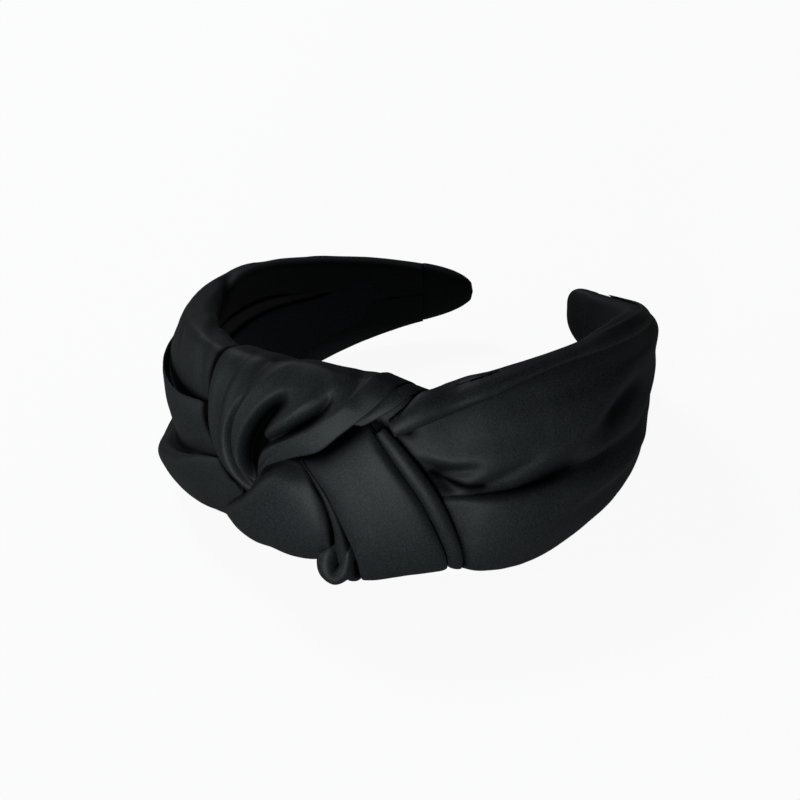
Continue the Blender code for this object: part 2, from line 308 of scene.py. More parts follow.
def shaded(grid, paths):
    """The sheet with the shade of what lies over it painted on, along paths given as for pressed, without a
    depth.
    """
    if grid.shape[-1] == 3:
        grid = np.concatenate([grid, 0 * grid[..., 2:]], axis=-1)
    for path, left, right in paths:
        near, _, close = beside(grid, path, left, right)
        grid[near, 3] = np.maximum(grid[near, 3], close)
    return grid


def rippled(grid, ripple, seed):
    """The sheet with the slight unevenness of hand-laid cloth on its outer side."""
    grid = np.array(grid)
    outside = BAND.outside(grid[..., 0]) - np.abs(grid[..., 1])
    strength = ripple * np.clip((outside + 2) / 6, 0, 1)
    for row, column in np.argwhere(strength > 0):
        angle, girth = grid[row, column, :2]
        place = Vector((angle * 0.09 + seed, girth * 0.06, seed * 1.7))
        grid[row, column, 2] += strength[row, column] * noise.fractal(place, 1.0, 2.0, 3)
    return grid


def blurred(values, reach):
    """The values, averaged over a square of 2 reach + 1 rows and columns."""
    for axis in (0, 1):
        widths = [(reach + 1, reach) if i == axis else (0, 0) for i in (0, 1)]
        total = np.cumsum(np.pad(values, widths, mode="edge"), axis=axis)
        count = values.shape[axis]
        upper = np.take(total, np.arange(2 * reach + 1, 2 * reach + 1 + count), axis=axis)
        values = (upper - np.take(total, np.arange(count), axis=axis)) / (2 * reach + 1)
    return values


def hollows(grid):
    """Painted shade for each point of a sheet, from 0 to 1, by its depth in a fold or its fourth value."""
    lift = grid[..., 2]
    deep = grid[..., 3] if grid.shape[-1] > 3 else np.zeros_like(lift)
    for reach in (4, 9, 16):
        if min(lift.shape) > 3 * reach:
            deep = np.maximum(deep, (blurred(blurred(lift, reach), reach) - lift) / HOLLOW_DEPTH)
    return np.clip(deep, 0, 1)


def cloth(name, grid, body, material, thickness=0.3, ripple=0.0, seed=0.0):
    """A sheet of cloth from a grid of (angle, girth, lift), with its thickness, riding on a body."""
    grid = rippled(grid, ripple, seed)
    points = above_table(BAND.points(grid[..., 0], grid[..., 1], grid[..., 2]))
    lifted = BAND.points(grid[..., 0], grid[..., 1], grid[..., 2] + 1.0)
    facing = np.cross(np.gradient(points, axis=1), np.gradient(points, axis=0))
    # painted shade, from the folds' depth and from the cloth lying over the sheet
    painted_shade = hollows(grid)
    if (facing * (lifted - points)).sum() < 0:
        points, painted_shade = points[:, ::-1], painted_shade[:, ::-1]
    return sheet_mesh(name, points, body, material, thickness, painted_shade)


def sheet_mesh(name, points, body, material, thickness, painted_shade=None):
    """A thick sheet from a grid of points in the hoop's millimetres. Its outer face looks away from the
    band."""
    rows, columns = points.shape[:2]
    across = np.gradient(points, axis=0)
    along = np.gradient(points, axis=1)
    normal = np.cross(along, across)
    normal /= np.maximum(np.linalg.norm(normal, axis=-1), 1e-9)[..., None]
    inner = points - normal * thickness
    vertices = np.concatenate([points.reshape(-1, 3), inner.reshape(-1, 3)])
    index = np.arange(rows * columns).reshape(rows, columns)
    a, b, c, d = index[:-1, :-1], index[:-1, 1:], index[1:, 1:], index[1:, :-1]
    top = np.stack([a, b, c, d], -1).reshape(-1, 4)
    back = top[:, ::-1] + rows * columns
    rim = np.concatenate([index[0, :], index[1:, -1], index[-1, -2::-1], index[-2:0:-1, 0]])
    nxt = np.roll(rim, -1)
    side = np.stack([nxt, rim, rim + rows * columns, nxt + rows * columns], -1)
    faces = np.concatenate([top, back, side])
    mesh = bpy.data.meshes.new(name)
    mesh.from_pydata(to_frame(vertices).tolist(), [], faces.tolist())
    # the painted shade goes on the mesh as a value per point that darkens the material
    shade = np.zeros(len(vertices)) if painted_shade is None else np.tile(painted_shade.reshape(-1), 2)
    mesh.attributes.new("painted_shade", "FLOAT", "POINT").data.foreach_set("value", shade.astype(np.float32))
    mesh.shade_smooth()
    piece = bpy.data.objects.new(name, mesh)
    bpy.context.scene.collection.objects.link(piece)
    mesh.materials.append(material)
    if body:
        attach(piece, body)
    return piece


# ---------------------------------------------------------------- materials

def new_material(name):
    material = bpy.data.materials.new(name)
    material.use_nodes = True
    nodes = material.node_tree.nodes
    return material, nodes, material.node_tree.links, nodes["Principled BSDF"]


PAINTED_FOLD_SHADE = (0.0006, 0.0007, 0.0009, 1.0)      # painted shade: the colour the cloth is painted where a fold is fully in shade
OPEN_GLOSS, PAINTED_SHADE_GLOSS = 0.35, 0.02             # its specular level in the open, and lowered to this where the painted shade is full


def black_cloth(name, dark, light, roughness, grain):
    """Black cloth whose threads catch the light unevenly; its colour and gloss are painted darker where
    the mesh carries painted shade.
    """
    material, nodes, links, shader = new_material(name)
    shader.inputs["Roughness"].default_value = roughness
    place = nodes.new("ShaderNodeTexCoord")
    fine = nodes.new("ShaderNodeTexNoise")
    fine.inputs["Scale"].default_value = grain
    fine.inputs["Detail"].default_value = 3.0
    links.new(place.outputs["Object"], fine.inputs["Vector"])
    shade = nodes.new("ShaderNodeValToRGB")
    shade.color_ramp.elements[0].position, shade.color_ramp.elements[1].position = 0.35, 0.68
    shade.color_ramp.elements[0].color = (*dark, 1.0)
    shade.color_ramp.elements[1].color = (*light, 1.0)
    links.new(fine.outputs["Fac"], shade.inputs["Fac"])
    # painted shade: the mesh's shade value mixes the colour towards near black and lowers the gloss
    fold = nodes.new("ShaderNodeAttribute")
    fold.attribute_name = "painted_shade"
    dim = nodes.new("ShaderNodeMix")
    dim.data_type = "RGBA"
    dim.inputs["B"].default_value = PAINTED_FOLD_SHADE
    links.new(fold.outputs["Fac"], dim.inputs["Factor"])
    links.new(shade.outputs["Color"], dim.inputs["A"])
    links.new(dim.outputs["Result"], shader.inputs["Base Color"])
    gloss = nodes.new("ShaderNodeMapRange")
    gloss.inputs["To Min"].default_value = OPEN_GLOSS
    gloss.inputs["To Max"].default_value = PAINTED_SHADE_GLOSS
    links.new(fold.outputs["Fac"], gloss.inputs["Value"])
    links.new(gloss.outputs["Result"], shader.inputs["Specular IOR Level"])
    bump = nodes.new("ShaderNodeBump")
    bump.inputs["Strength"].default_value = 0.4
    bump.inputs["Distance"].default_value = 0.00012
    links.new(fine.outputs["Fac"], bump.inputs["Height"])
    links.new(bump.outputs["Normal"], shader.inputs["Normal"])
    return material


def plain(name, colour, roughness, grain, depth):
    """A moulded, foamed or glued material with a fine uneven surface."""
    material, nodes, links, shader = new_material(name)
    shader.inputs["Base Color"].default_value = (*colour, 1.0)
    shader.inputs["Roughness"].default_value = roughness
    place = nodes.new("ShaderNodeTexCoord")
    fine = nodes.new("ShaderNodeTexNoise")
    fine.inputs["Scale"].default_value = grain
    links.new(place.outputs["Object"], fine.inputs["Vector"])
    bump = nodes.new("ShaderNodeBump")
    bump.inputs["Distance"].default_value = depth
    links.new(fine.outputs["Fac"], bump.inputs["Height"])
    links.new(bump.outputs["Normal"], shader.inputs["Normal"])
    return material


MOULDING = plain("hoop_moulding", (0.02, 0.02, 0.02), 0.45, 400.0, 0.00005)
FOAM = plain("foam_cells", (0.1, 0.1, 0.1), 0.95, 1200.0, 0.0004)
BEAD = plain("glue_bead", (0.5, 0.48, 0.42), 0.3, 200.0, 0.0001)
SATIN = black_cloth("satin_weave", (0.0034, 0.0044, 0.0052), (0.019, 0.0228, 0.0252), 0.6, 2200.0)
LINING = black_cloth("lining_ribbon", (0.010, 0.0155, 0.020), (0.023, 0.033, 0.040), 0.6, 1500.0)


# ---------------------------------------------------------------- pieces

def rail(angles, heights, lifts):
    """(angle, height, lift) rows; a single height or lift holds for every angle."""
    count = len(angles)
    heights = heights if hasattr(heights, "__len__") else [heights] * count
    lifts = lifts if hasattr(lifts, "__len__") else [lifts] * count
    return list(zip(angles, heights, lifts))


def beyond_top(angles, past):
    """Heights past the top edge, which go on over it and down inside."""
    return [float(upper_edge(a)) + past for a in angles]


def beyond_bottom(angles, past):
    """Heights past the bottom edge, which go on under it and up inside."""
    return [float(lower_edge(a)) - past for a in angles]


def spread(angles, share):
    """Heights at a share of the band's width."""
    return [float(lower_edge(a)) + share * float(upper_edge(a) - lower_edge(a)) for a in angles]


def bend_with_arm(piece):
    """The piece's placement, baked into its mesh. It rides on no body, so it does not follow the arm's bend.
    """
    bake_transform(piece)


def right_sleeve():
    """The satin round the right arm: a long fold over its lower part, hollows, and pleats at the knot."""
    angles = (20, 30, 39, 46, 54, 62, 71, 80, 90, 102, 116, 132, 151)
    rails = [
        rail(angles, beyond_bottom(angles, 18), 0.4),
        rail(angles, beyond_bottom(angles, 9), 0.6),
        rail(angles, beyond_bottom(angles, 2), 0.8),
        rail(angles, spread(angles, 0.06), (0.3, 0.3, 0.6, 1.8, 2, 2, 1.5, 1, 0.8, 0.5, 0.3, 0.2, 0)),
        rail(angles, spread(angles, 0.2), (0.3, 0.3, 0.6, 2.6, 3.5, 3.2, 2, 1, 0.5, 0.4, 0.3, 0.2, 0)),
        rail(angles, (24, 24, 25, 26, 26, 26, 27, 27, 29, 30, 32, 34, 37),
             (0.3, 0.3, 0.6, 2.6, 3, 2.8, 2.4, 2.2, 1.8, 0.8, 0.4, 0.2, 0)),
        rail(angles, (29.6, 29.6, 29.4, 29.2, 29, 29.4, 30.6, 31.5, 33, 33.5, 35, 36.5, 38.5),
             (0.2, 0.2, 0.4, 1.6, 1.6, 1.2, 0.2, 0, 0.2, 0.4, 0.3, 0.2, 0)),
        rail(angles, (30.6, 30.6, 30.4, 30.4, 30.4, 31, 32.6, 34.5, 37, 37, 38, 38.5, 40),
             (-0.5, -0.5, -0.8, -0.8, -0.6, -0.8, -0.8, 0, 0, 0.2, 0.2, 0.1, 0)),
        rail(angles, (30.4, 30.4, 30, 30, 30.2, 31.6, 34.5, 38, 41, 40.5, 41, 41, 42),
             (0.2, 0.2, 0.4, 0.8, 1, 0.6, 0.6, 1.2, -0.4, -0.2, 0.1, 0.1, 0)),
        rail(angles, (33, 33, 33.5, 33, 33, 36, 39, 42, 45, 44.5, 44.5, 44, 44),
             (0.3, 0.6, 1.2, 1.5, 1.6, 1.6, 2, 0.6, -0.8, -0.4, 0, 0.1, 0)),
        rail(angles, spread(angles, 0.66), (0.3, 0.6, 1.8, 3, 2.8, 2.8, 2.6, 0.4, -0.2, 0.3, 0.2, 0.1, 0)),
        rail(angles, spread(angles, 0.8), (0.2, 0.3, 0.8, 1.4, 2, 2.6, 2.8, 2, 1.4, 0.8, 0.4, 0.2, 0)),
        rail(angles, (50, 52, 57, 61, 63.5, 64, 63, 61.5, 60, 58.4, 56.4, 53.8, 50.4),
             (0.2, 0.2, 0.3, 0.4, 0.6, 0.8, 0.8, 0.6, 0.5, 0.4, 0.3, 0.2, 0)),
        rail(angles, beyond_top(angles, 3), (0.5, 0.5, 0.5, 0.5, 0.5, 0.5, 0.4, 0.4, 0.3, 0.3, 0.2, 0.2, 0)),
        rail(angles, beyond_top(angles, 9), 0.3),
        rail(angles, beyond_top(angles, 16), 0.3),
    ]
    grid = pressed(laid(rails, 260, 210), [
        ([(41, 30), (48, 30), (56, 30.4), (64, 32), (72, 35.4)], 1.9, 2.2, 0.8),
        ([(54, 32.4), (59, 33.8), (65, 35), (71, 36.4)], 1.2, 2.6, 2.4),
        ([(31, 42), (35, 39.4), (39.6, 38.4), (45, 39.6)], 2.6, 1.8, 2.6),
        ([(34.4, 38), (37.4, 34), (41, 31.4)], 3.0, 2.8, 2.4),
        ([(42, 32.6), (47, 34.4), (52, 37.4), (58, 41.4)], 1.5, 1.8, 2.4),
        ([(48, 34), (58, 38.4), (70, 46), (84, 56)], -1.6, 4.0, 2.6),
        ([(69, 37), (76, 41), (84, 45), (96, 49.6)], 2.2, 6.0, 2.4),
        ([(66, 35), (73.5, 38), (80, 40)], -1.8, 3.0, 3.0),
        ([(62, 22), (72, 25), (83, 28.4), (95, 32.4)], -1.6, 4.5, 3.0),
        ([(78, 34), (88, 37.4), (100, 42), (114, 47)], -1.2, 4.0, 3.0),
        ([(74, 31.4), (84, 33.6), (96, 37.6), (110, 43)], 1.2, 2.6, 2.0),
        ([(50, 56), (62, 57), (78, 58), (96, 57)], 0.7, 3.0, 3.0),
        ([(100, 59), (112, 58), (126, 54.6)], -2.4, 4.0, 4.0),
        ([(100, 22), (108, 30), (116, 37), (126, 44)], 2.8, 8.0, 8.0),
    ], -2.0)
    # painted shadow beside the knot's passes, in the pocket by the side roll and under the strip and the top
    # roll
    grid = shaded(grid, [
        ([(18, 56), (24.6, 52.6), (28.4, 46.6), (31.8, 40), (34.8, 33), (37, 27), (39, 20), (40.8, 13),
          (41.8, 6)], 1.3, 9.0),
        ([(34.6, 38), (37.6, 35.4), (41, 33.6), (45, 33)], 1.6, 2.0),
        ([(22.6, 51.6), (26, 51), (29.6, 50.6)], 2.4, 2.4),
        ([(25, 49), (30.4, 52.2), (37, 56.4), (43, 59.2), (50, 61.6), (58, 63.2)], 4.0, 0.9),
    ])
    piece = cloth("right_sleeve_cloth", grid, None, SATIN, ripple=0.25, seed=3.1)
    bend_with_arm(piece)
    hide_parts("right_sleeve")


def left_sleeve():
    """The satin round the left arm: a roll along its top edge and two flaps that go under the knot."""
    angles = (-10, -24, -32, -41, -50, -60, -72, -86, -102, -118, -134, -151)
    rails = [
        rail(angles, beyond_top(angles, 16), 0.3),
        rail(angles, beyond_top(angles, 12), (0.3, 0.3, 0.8, 1.8, 2.2, 2, 1.2, 0.3, 0.3, 0.3, 0.3, 0.3)),
        rail(angles, beyond_top(angles, 7), (0, 1, 2.4, 3.4, 3.4, 2.6, 1.4, 0.5, 0.3, 0.3, 0.3, 0.3)),
        rail(angles, beyond_top(angles, 2), (0, 1.2, 2.4, 2.6, 2, 1.4, 0.8, 0.5, 0.4, 0.3, 0.2, 0)),
        rail(angles, spread(angles, 0.92), (-0.3, 1, 1.2, 1, 0.6, 0.6, 0.6, 0.3, 0.1, 0.1, 0.1, 0)),
        rail(angles, spread(angles, 0.8), (-0.3, 0.3, 0.3, 0.4, 0.8, 1.4, 1.5, 0.7, 0, 0, 0, 0)),
        rail(angles, (44, 43, 41, 41, 42, 45, 48.6, 50, 49, 47, 45.5, 44),
             (-0.6, -0.6, -0.6, -0.2, 0.6, 1.5, 2.0, 1.2, 0.2, 0, 0, 0)),
        rail(angles, (47, 46.3, 44.4, 44.4, 44.8, 46.4, 47.8, 48.6, 47, 45, 44, 43.2),
             (-0.3, 1.6, 2.4, 2.6, 2.4, 2.2, 2, 1.2, 0.4, 0, 0, 0)),
        rail(angles, (48.5, 47.2, 45.8, 46, 46, 46, 46, 45.6, 44, 43, 42.5, 42.4),
             (-0.3, 2.2, 3.4, 3.8, 3.6, 3.0, 2.4, 1.4, 0.4, 0, 0, 0)),
        rail(angles, (43, 42, 40.5, 39.6, 39, 38, 38.4, 39.6, 40, 40.4, 40.8, 41.4),
             (-0.3, 2.6, 3.8, 3.4, 2.2, 1.0, 0.6, 0.3, 0.2, 0.1, 0, 0)),
        rail(angles, (38, 36, 33, 31, 30.4, 29.4, 31, 34, 36, 37.8, 39.2, 40.5),
             (-0.3, 1.6, 2.4, 1.6, 0.4, 0, 0, 0.2, 0.3, 0.1, 0, 0)),
        rail(angles, (31, 28, 24.4, 21, 18.4, 19, 23, 28, 32.5, 35.6, 37.7, 39.5),
             (-0.3, 0.2, 0, -0.2, 0, 0, 0.2, 0.3, 0.3, 0.1, 0, 0)),
        rail(angles, (32.6, 29, 25, 21.4, 18.4, 18, 20, 25, 30, 34, 36.6, 38.8),
             (0.4, 1.6, 2.8, 3.6, 4, 3, 2, 0.7, 0.3, 0.1, 0, 0)),
        rail(angles, (32, 28, 23.4, 19.6, 16.6, 16, 18, 22, 28, 32.5, 35.8, 38.2),
             (0.6, 2.6, 4.8, 6, 6.8, 5.4, 3, 1, 0.3, 0.1, 0, 0)),
        rail(angles, (20, 20, 18, 14.6, 12, 12, 14, 18, 25, 30.5, 34.6, 37.6),
             (0.6, 2.6, 4.6, 5.8, 6.6, 5.4, 3, 1, 0.3, 0.1, 0, 0)),
        rail(angles, (14, 14.4, 12, 9, 7, 6.6, 9, 14, 21, 28, 33, 36.6),
             (0.4, 1.8, 3, 4, 4.4, 3.6, 2, 0.7, 0.3, 0.1, 0, 0)),
        rail(angles, beyond_bottom(angles, 2), (0.2, 0.6, 1, 1.4, 1.6, 1.2, 0.6, 0.4, 0.3, 0.2, 0, 0)),
        rail(angles, beyond_bottom(angles, 9), 0.5),
        rail(angles, beyond_bottom(angles, 18), 0.4),
    ]
    grid = pressed(laid(rails, 240, 240), [
        ([(-88, 60), (-78, 66), (-67, 71), (-52, 73)], 2.6, 2.4, 1.4),
        ([(-25, 47), (-26, 54), (-28, 62), (-30, 68)], 1.2, 1.6, 2.4),
        ([(-38, 49), (-41, 56), (-46, 63), (-52, 69)], 0.5, 3.0, 2.4),
        ([(-30, 64), (-38, 68), (-48, 72), (-56, 78), (-58, 84)], 1.6, 1.4, 2.6),
        ([(-40, 12), (-52, 14), (-64, 20), (-78, 28)], 0.8, 3.0, 2.0),
        ([(-54, 29.6), (-66, 31), (-78, 34), (-92, 39)], 2.6, 4.0, 2.6),
        ([(-84, 44), (-92, 50), (-100, 56), (-108, 60)], 0.9, 6.0, 6.0),
    ], -1.2)
    # painted shadow along the edge of the knot's over-wrap
    grid = shaded(grid, [
        ([(-13, 26), (-18, 34), (-20.6, 42), (-21.4, 50), (-21.4, 58), (-20.6, 66)], 1.2, 9.0),
    ])
    piece = cloth("left_sleeve_cloth", grid, None, SATIN, ripple=0.25, seed=8.3)
    bend_with_arm(piece)
    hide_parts("left_sleeve")


def knot_pass(node, grid, ripple, seed):
    """One of the knot's passes of cloth, which stands for the CAD node of that name."""
    piece = cloth(f"{node}_cloth", grid, "crown", SATIN, ripple=ripple, seed=seed)
    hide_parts(node)


def over_wrap():
    """The large pass of cloth: it fans out of the pinch in folds and goes over the top edge."""
    rails = [
        [(-7, 22, 0.6), (-15, 30, 0.6), (-19, 38, 0.6), (-20.4, 48, 0.6), (-20.4, 58, 0.6),
         (-19.6, 66, 0.6), (-18, 78, 0.4)],
        [(-7.6, 23.2, 1.2), (-13.6, 30.6, 3), (-17, 39, 3.6), (-18, 49, 3.8), (-17.8, 59, 3.6),
         (-17.2, 66, 2.4), (-16, 78, 1)],
        [(-7, 23.6, 1.6), (-11.8, 31, 4.4), (-14, 39.6, 5), (-14.4, 49, 5), (-13.6, 59, 4.6),
         (-12.6, 66, 2.8), (-12, 78, 1.2)],
        [(-6.4, 24.2, 2), (-9.6, 31, 5), (-11, 39, 5.8), (-10.6, 48, 6.2), (-8.6, 57, 5.6), (-6, 65, 3.2),
         (-5, 78, 1.4)],
        [(-5.6, 25, 2), (-6.7, 32.8, 5.2), (-6.6, 41, 6.4), (-5, 49, 6.8), (-2, 58, 6), (2, 65, 3.4),
         (4, 78, 1.4)],
        [(-5, 26, 2), (-3.8, 34, 5), (-2.2, 41.6, 6.4), (1.4, 49.6, 6.8), (6, 58, 6), (11, 64.6, 3.2),
         (14, 78, 1.2)],
        [(-4.6, 27, 2), (-2.4, 35.5, 4.8), (0.6, 41.4, 6.2), (5.6, 47, 6.6), (11.6, 53.6, 6.2),
         (17.4, 61, 4.2), (22, 67, 3), (23, 78, 1.2)],
        [(-4.3, 27.8, 2), (-2, 35.8, 4.4), (1.2, 40.6, 5.8), (6, 44.6, 6.4), (11.6, 49.8, 6.2),
         (17.2, 57, 5.4), (24.6, 63.4, 3.8), (31, 68.4, 2.4), (32.6, 78, 1)],
        [(-4.1, 28.6, 2), (-2.4, 34.4, 4.8), (0.4, 38.6, 5.6), (4.8, 42, 6), (10.4, 45.8, 6),
         (16, 52.2, 5.4), (20.8, 57, 4.4), (27, 62.6, 3.4), (33, 67, 2.2), (34.6, 78, 1)],
        [(-3.8, 29, 1.8), (-2.4, 33.2, 4), (-0.2, 36.8, 4.8), (4.2, 40.2, 5.3), (10.4, 43.8, 5.4),
         (16.2, 50.2, 5), (21, 55.8, 4.2), (27.4, 61.8, 3), (33.6, 66, 1.8), (35.2, 78, 0.8)],
        [(-3.4, 30.2, 0.8), (-1.8, 35.6, 1.8), (0.6, 40, 2.4), (4.4, 44.2, 2.8), (10, 48.4, 2.8),
         (15, 54, 2.4), (19.6, 59.4, 1.8), (26, 64.4, 1.2), (32.2, 68, 0.9), (34, 78, 0.7)],
    ]
    grid = pressed(laid(rails, 210, 260), [
        ([(-8.0, 26.6), (-12.2, 33.6), (-13.6, 42.6), (-13, 52.6), (-11, 61), (-9, 67)], 1.2, 2.6, 1.6),
        ([(-4.8, 25.6), (-7.4, 30.2), (-9.2, 35.4), (-9.8, 41), (-9.4, 46.4), (-8, 52), (-6, 57)],
         3.2, 0.9, 0.8),
        ([(-4.8, 27.6), (-5.8, 33), (-5.6, 39.6), (-3.8, 46), (-1.4, 51.4), (1.8, 56.2), (4.2, 58.6)],
         7.5, 1.5, 2.6),
        ([(-5, 33), (-4.6, 38), (-3, 42.4), (-0.4, 45.6)], 6.0, 2.2, 2.2),
        ([(-1.8, 42.4), (1.2, 45.4), (5, 48.8), (9, 52.6), (12, 56.4), (13.8, 60)], 4.6, 1.2, 1.0),
        ([(-7.8, 47), (-5.6, 54), (-2.2, 60), (3, 64), (8.4, 65), (12.6, 63), (15.4, 59.4)],
         -1.0, 1.7, 2.1),
        ([(-5.6, 24.6), (-8.6, 29), (-10.8, 34), (-11.4, 40), (-11, 45), (-9.8, 50)], -0.9, 1.1, 1.0),
        ([(0.6, 47.4), (3.4, 51), (7, 55.6), (10.4, 60)], -1.4, 1.8, 1.5),
        ([(-8.6, 53), (-6, 60), (-2, 65.6), (3, 69)], 1.2, 2.0, 1.9),
        ([(16.8, 68), (18.6, 62), (18, 57)], 1.0, 3.0, 3.0),
    ], 0.7)
    knot_pass("knot_over_wrap", grid, 0.12, 1.2)


def front_wrap():
    """The broad pass that comes down over the front and turns under the lower edge."""
    rails = [
        [(8.4, 44, 0.7), (12, 36, 0.7), (15, 30, 0.7), (17.6, 23, 0.7), (19.4, 16, 0.7), (20.8, 9, 0.7),
         (21.6, 3, 0.7), (22, -12, 0.5)],
        [(6.6, 43.6, 1.2), (10.2, 36.9, 1.6), (13.1, 31.3, 1.8), (15.3, 25, 1.8), (17.1, 18.5, 1.8),
         (18.6, 13, 1.6), (19.2, 8.4, 1.4), (19.3, 3, 1.2), (19.4, -12, 0.6)],
        [(5.6, 44, 0.8), (6.6, 42, 1.1), (7.8, 39.8, 2.9), (9.9, 36.2, 3.6), (12.6, 31.3, 4),
         (14.8, 25, 4.1), (16.6, 18.6, 4), (17.9, 13.2, 3.7), (18.5, 8.6, 3.2), (18.6, 3.4, 2.6),
         (18.8, -12, 1)],
        [(6.6, 45.8, 0.8), (8, 43.2, 1.2), (9.3, 40.6, 3.5), (11, 37.2, 4.5), (14, 31.6, 4.9),
         (16.2, 25.2, 5), (18, 18.8, 4.8), (19.4, 13.2, 4.4), (20.2, 8.4, 3.7), (20.4, 3, 2.8),
         (20.8, -12, 1.2)],
        [(12, 51.4, 0.8), (13.6, 48, 1.2), (15, 44.8, 3.6), (17.3, 40.4, 4.8), (20.4, 33.4, 5.2),
         (23.2, 26.4, 5.2), (25.5, 19.2, 4.9), (27.3, 12.4, 4.2), (28.6, 5, 3), (29.2, -12, 1.2)],
        [(18, 56, 0.8), (19.4, 52.8, 1.2), (20.8, 50, 3.4), (23, 46, 4.4), (25.7, 40.8, 4.8),
         (28.3, 35.4, 4.9), (31, 28.8, 4.8), (33.1, 22, 4.5), (34.8, 15.9, 3.9), (36.3, 9.8, 3.2),
         (37.1, 4.6, 2.5), (37.6, -12, 1.1)],
        [(19, 56.8, 0.8), (20.4, 53.6, 1.1), (21.8, 50.8, 2.7), (24, 46.6, 3.2), (26.7, 41.2, 3.4),
         (29.3, 35.9, 3.5), (32.1, 29.2, 3.4), (34.2, 22.4, 3.2), (35.9, 16.2, 2.8), (37.4, 10, 2.3),
         (38.2, 4.8, 1.8), (38.6, -12, 0.8)],
        [(21.6, 51.8, 1), (24.3, 46.9, 1), (27, 41.4, 1), (29.5, 36.2, 1), (32.3, 29.4, 1), (34.4, 22.5, 1),
         (36.1, 16.3, 1), (37.6, 10, 0.9), (38.4, 4.8, 0.8), (38.8, -12, 0.5)],
    ]
    # painted shadow under the over-wrap's lower edge
    grid = shaded(laid(rails, 110, 110), [
        ([(3, 40.6), (7, 41), (10.6, 42.2), (13.6, 44.6), (16.8, 48.6), (20, 53.4)], 9.0, 3.0),
    ])
    knot_pass("knot_front_wrap", grid, 0.12, 5.5)


def puff():
    """The pillow of cloth below the pinch."""
    rails = [
        [(-11.4, 19.6, 0.8), (-6.8, 26.4, 0.9), (-3.6, 33.6, 0.9), (0, 39, 1), (3.4, 41, 1), (6.6, 40, 1),
         (9, 36.6, 1), (11.2, 31, 1), (12.6, 25, 1), (13.4, 20, 1), (13.6, 13, 0.9)],
        [(-12.4, 19, 2), (-7.6, 24, 2.6), (-4, 30.2, 2.6), (-0.6, 36, 1.6), (2.8, 38.2, 1.6),
         (6, 37.4, 1.8), (8.6, 33.8, 3.4), (10.6, 29, 3.4), (12, 23.4, 3.3), (12.7, 19, 3.1),
         (13, 12.6, 2.6)],
        [(-13.4, 17.6, 2.8), (-8.8, 21.6, 4), (-5, 26.2, 4.8), (-1.4, 31.2, 5.2), (2, 33.6, 5.4),
         (5, 32.6, 5.4), (7.6, 29.4, 5.2), (9.6, 25.4, 5), (10.9, 21, 4.8), (11.5, 17.2, 4.4),
         (11.8, 12, 3.4)],
        [(-14.8, 16, 3.2), (-10.8, 17.2, 4.8), (-6.4, 20, 5.4), (-2.4, 22.4, 6), (1, 23, 6.2), (4, 22, 6.2),
         (6.6, 20, 6), (8.5, 17.6, 5.6), (9.7, 15.2, 5), (10.4, 13, 4.4), (10.9, 11, 3.4)],
        [(-15.8, 12.8, 3), (-12.2, 11.8, 4.4), (-7.8, 12.6, 5.2), (-3.4, 13, 5.4), (0, 12.8, 5.6),
         (3, 12.4, 5.6), (5.8, 12, 5.4), (7.9, 11.4, 4.8), (9.2, 10.8, 4.2), (10, 10, 3.6),
         (10.6, 9.6, 2.8)],
        [(-15.6, 10.4, 2.4), (-12.4, 8.8, 3.4), (-7.8, 8.4, 4.2), (-3.6, 8, 3.8), (0, 7.6, 4), (3, 7.4, 4),
         (5.6, 7.4, 3.8), (7.9, 7.6, 3.4), (9.2, 8, 2.9), (10, 8.4, 2.4), (10.6, 8.8, 2)],
        [(-14.4, 9.4, 0.8), (-12, 6.8, 1.2), (-7.6, 5.6, 1.4), (-3.6, 4.8, 1.2), (0, 4, 1.2), (3, 3.8, 1.2),
         (5.6, 4.2, 1.2), (7.9, 5, 1.2), (9.2, 6, 1), (10, 7, 0.9), (10.6, 7.8, 0.8)],
    ]
    # painted shadow along its top edge under the over-wrap and along its right edge by the hem
    grid = shaded(laid(rails, 120, 100), [
        ([(-7, 28), (-4.6, 32.6), (-1.8, 36.6), (2, 38.8), (5.6, 38.8), (8.4, 36.2)], 9.0, 1.0),
        ([(8, 37), (10.4, 31.6), (12.2, 26), (13, 20), (13, 13)], 4.0, 0.8),
    ])
    knot_pass("knot_puff", grid, 0.12, 7.1)


def rolled(path, widths, low, high):
    """Rails round a roll of cloth that follows a path of (angle, height): widths and heights of its crest
    along it, over a low side on each hand."""
    path = np.asarray(path, float)
    count = len(path)
    widths = np.interp(np.linspace(0, 1, count), np.linspace(0, 1, len(widths)), widths)
    high = np.interp(np.linspace(0, 1, count), np.linspace(0, 1, len(high)), high)
    scale = np.array([DEGREE, 1.0])
    step = np.gradient(path * scale, axis=0)
    side = np.stack([-step[:, 1] / DEGREE, step[:, 0]], -1)
    side /= np.linalg.norm(side * scale, axis=1)[:, None]
    rails = []
    for turn in np.linspace(-1, 1, 9):
        across = math.sin(turn * math.pi / 2)
        reach = path + side * (widths * across)[:, None]
        lift = low + (high - low) * math.cos(turn * math.pi / 2) ** 0.8
        rails.append(np.column_stack([reach, lift]).tolist())
    return rails


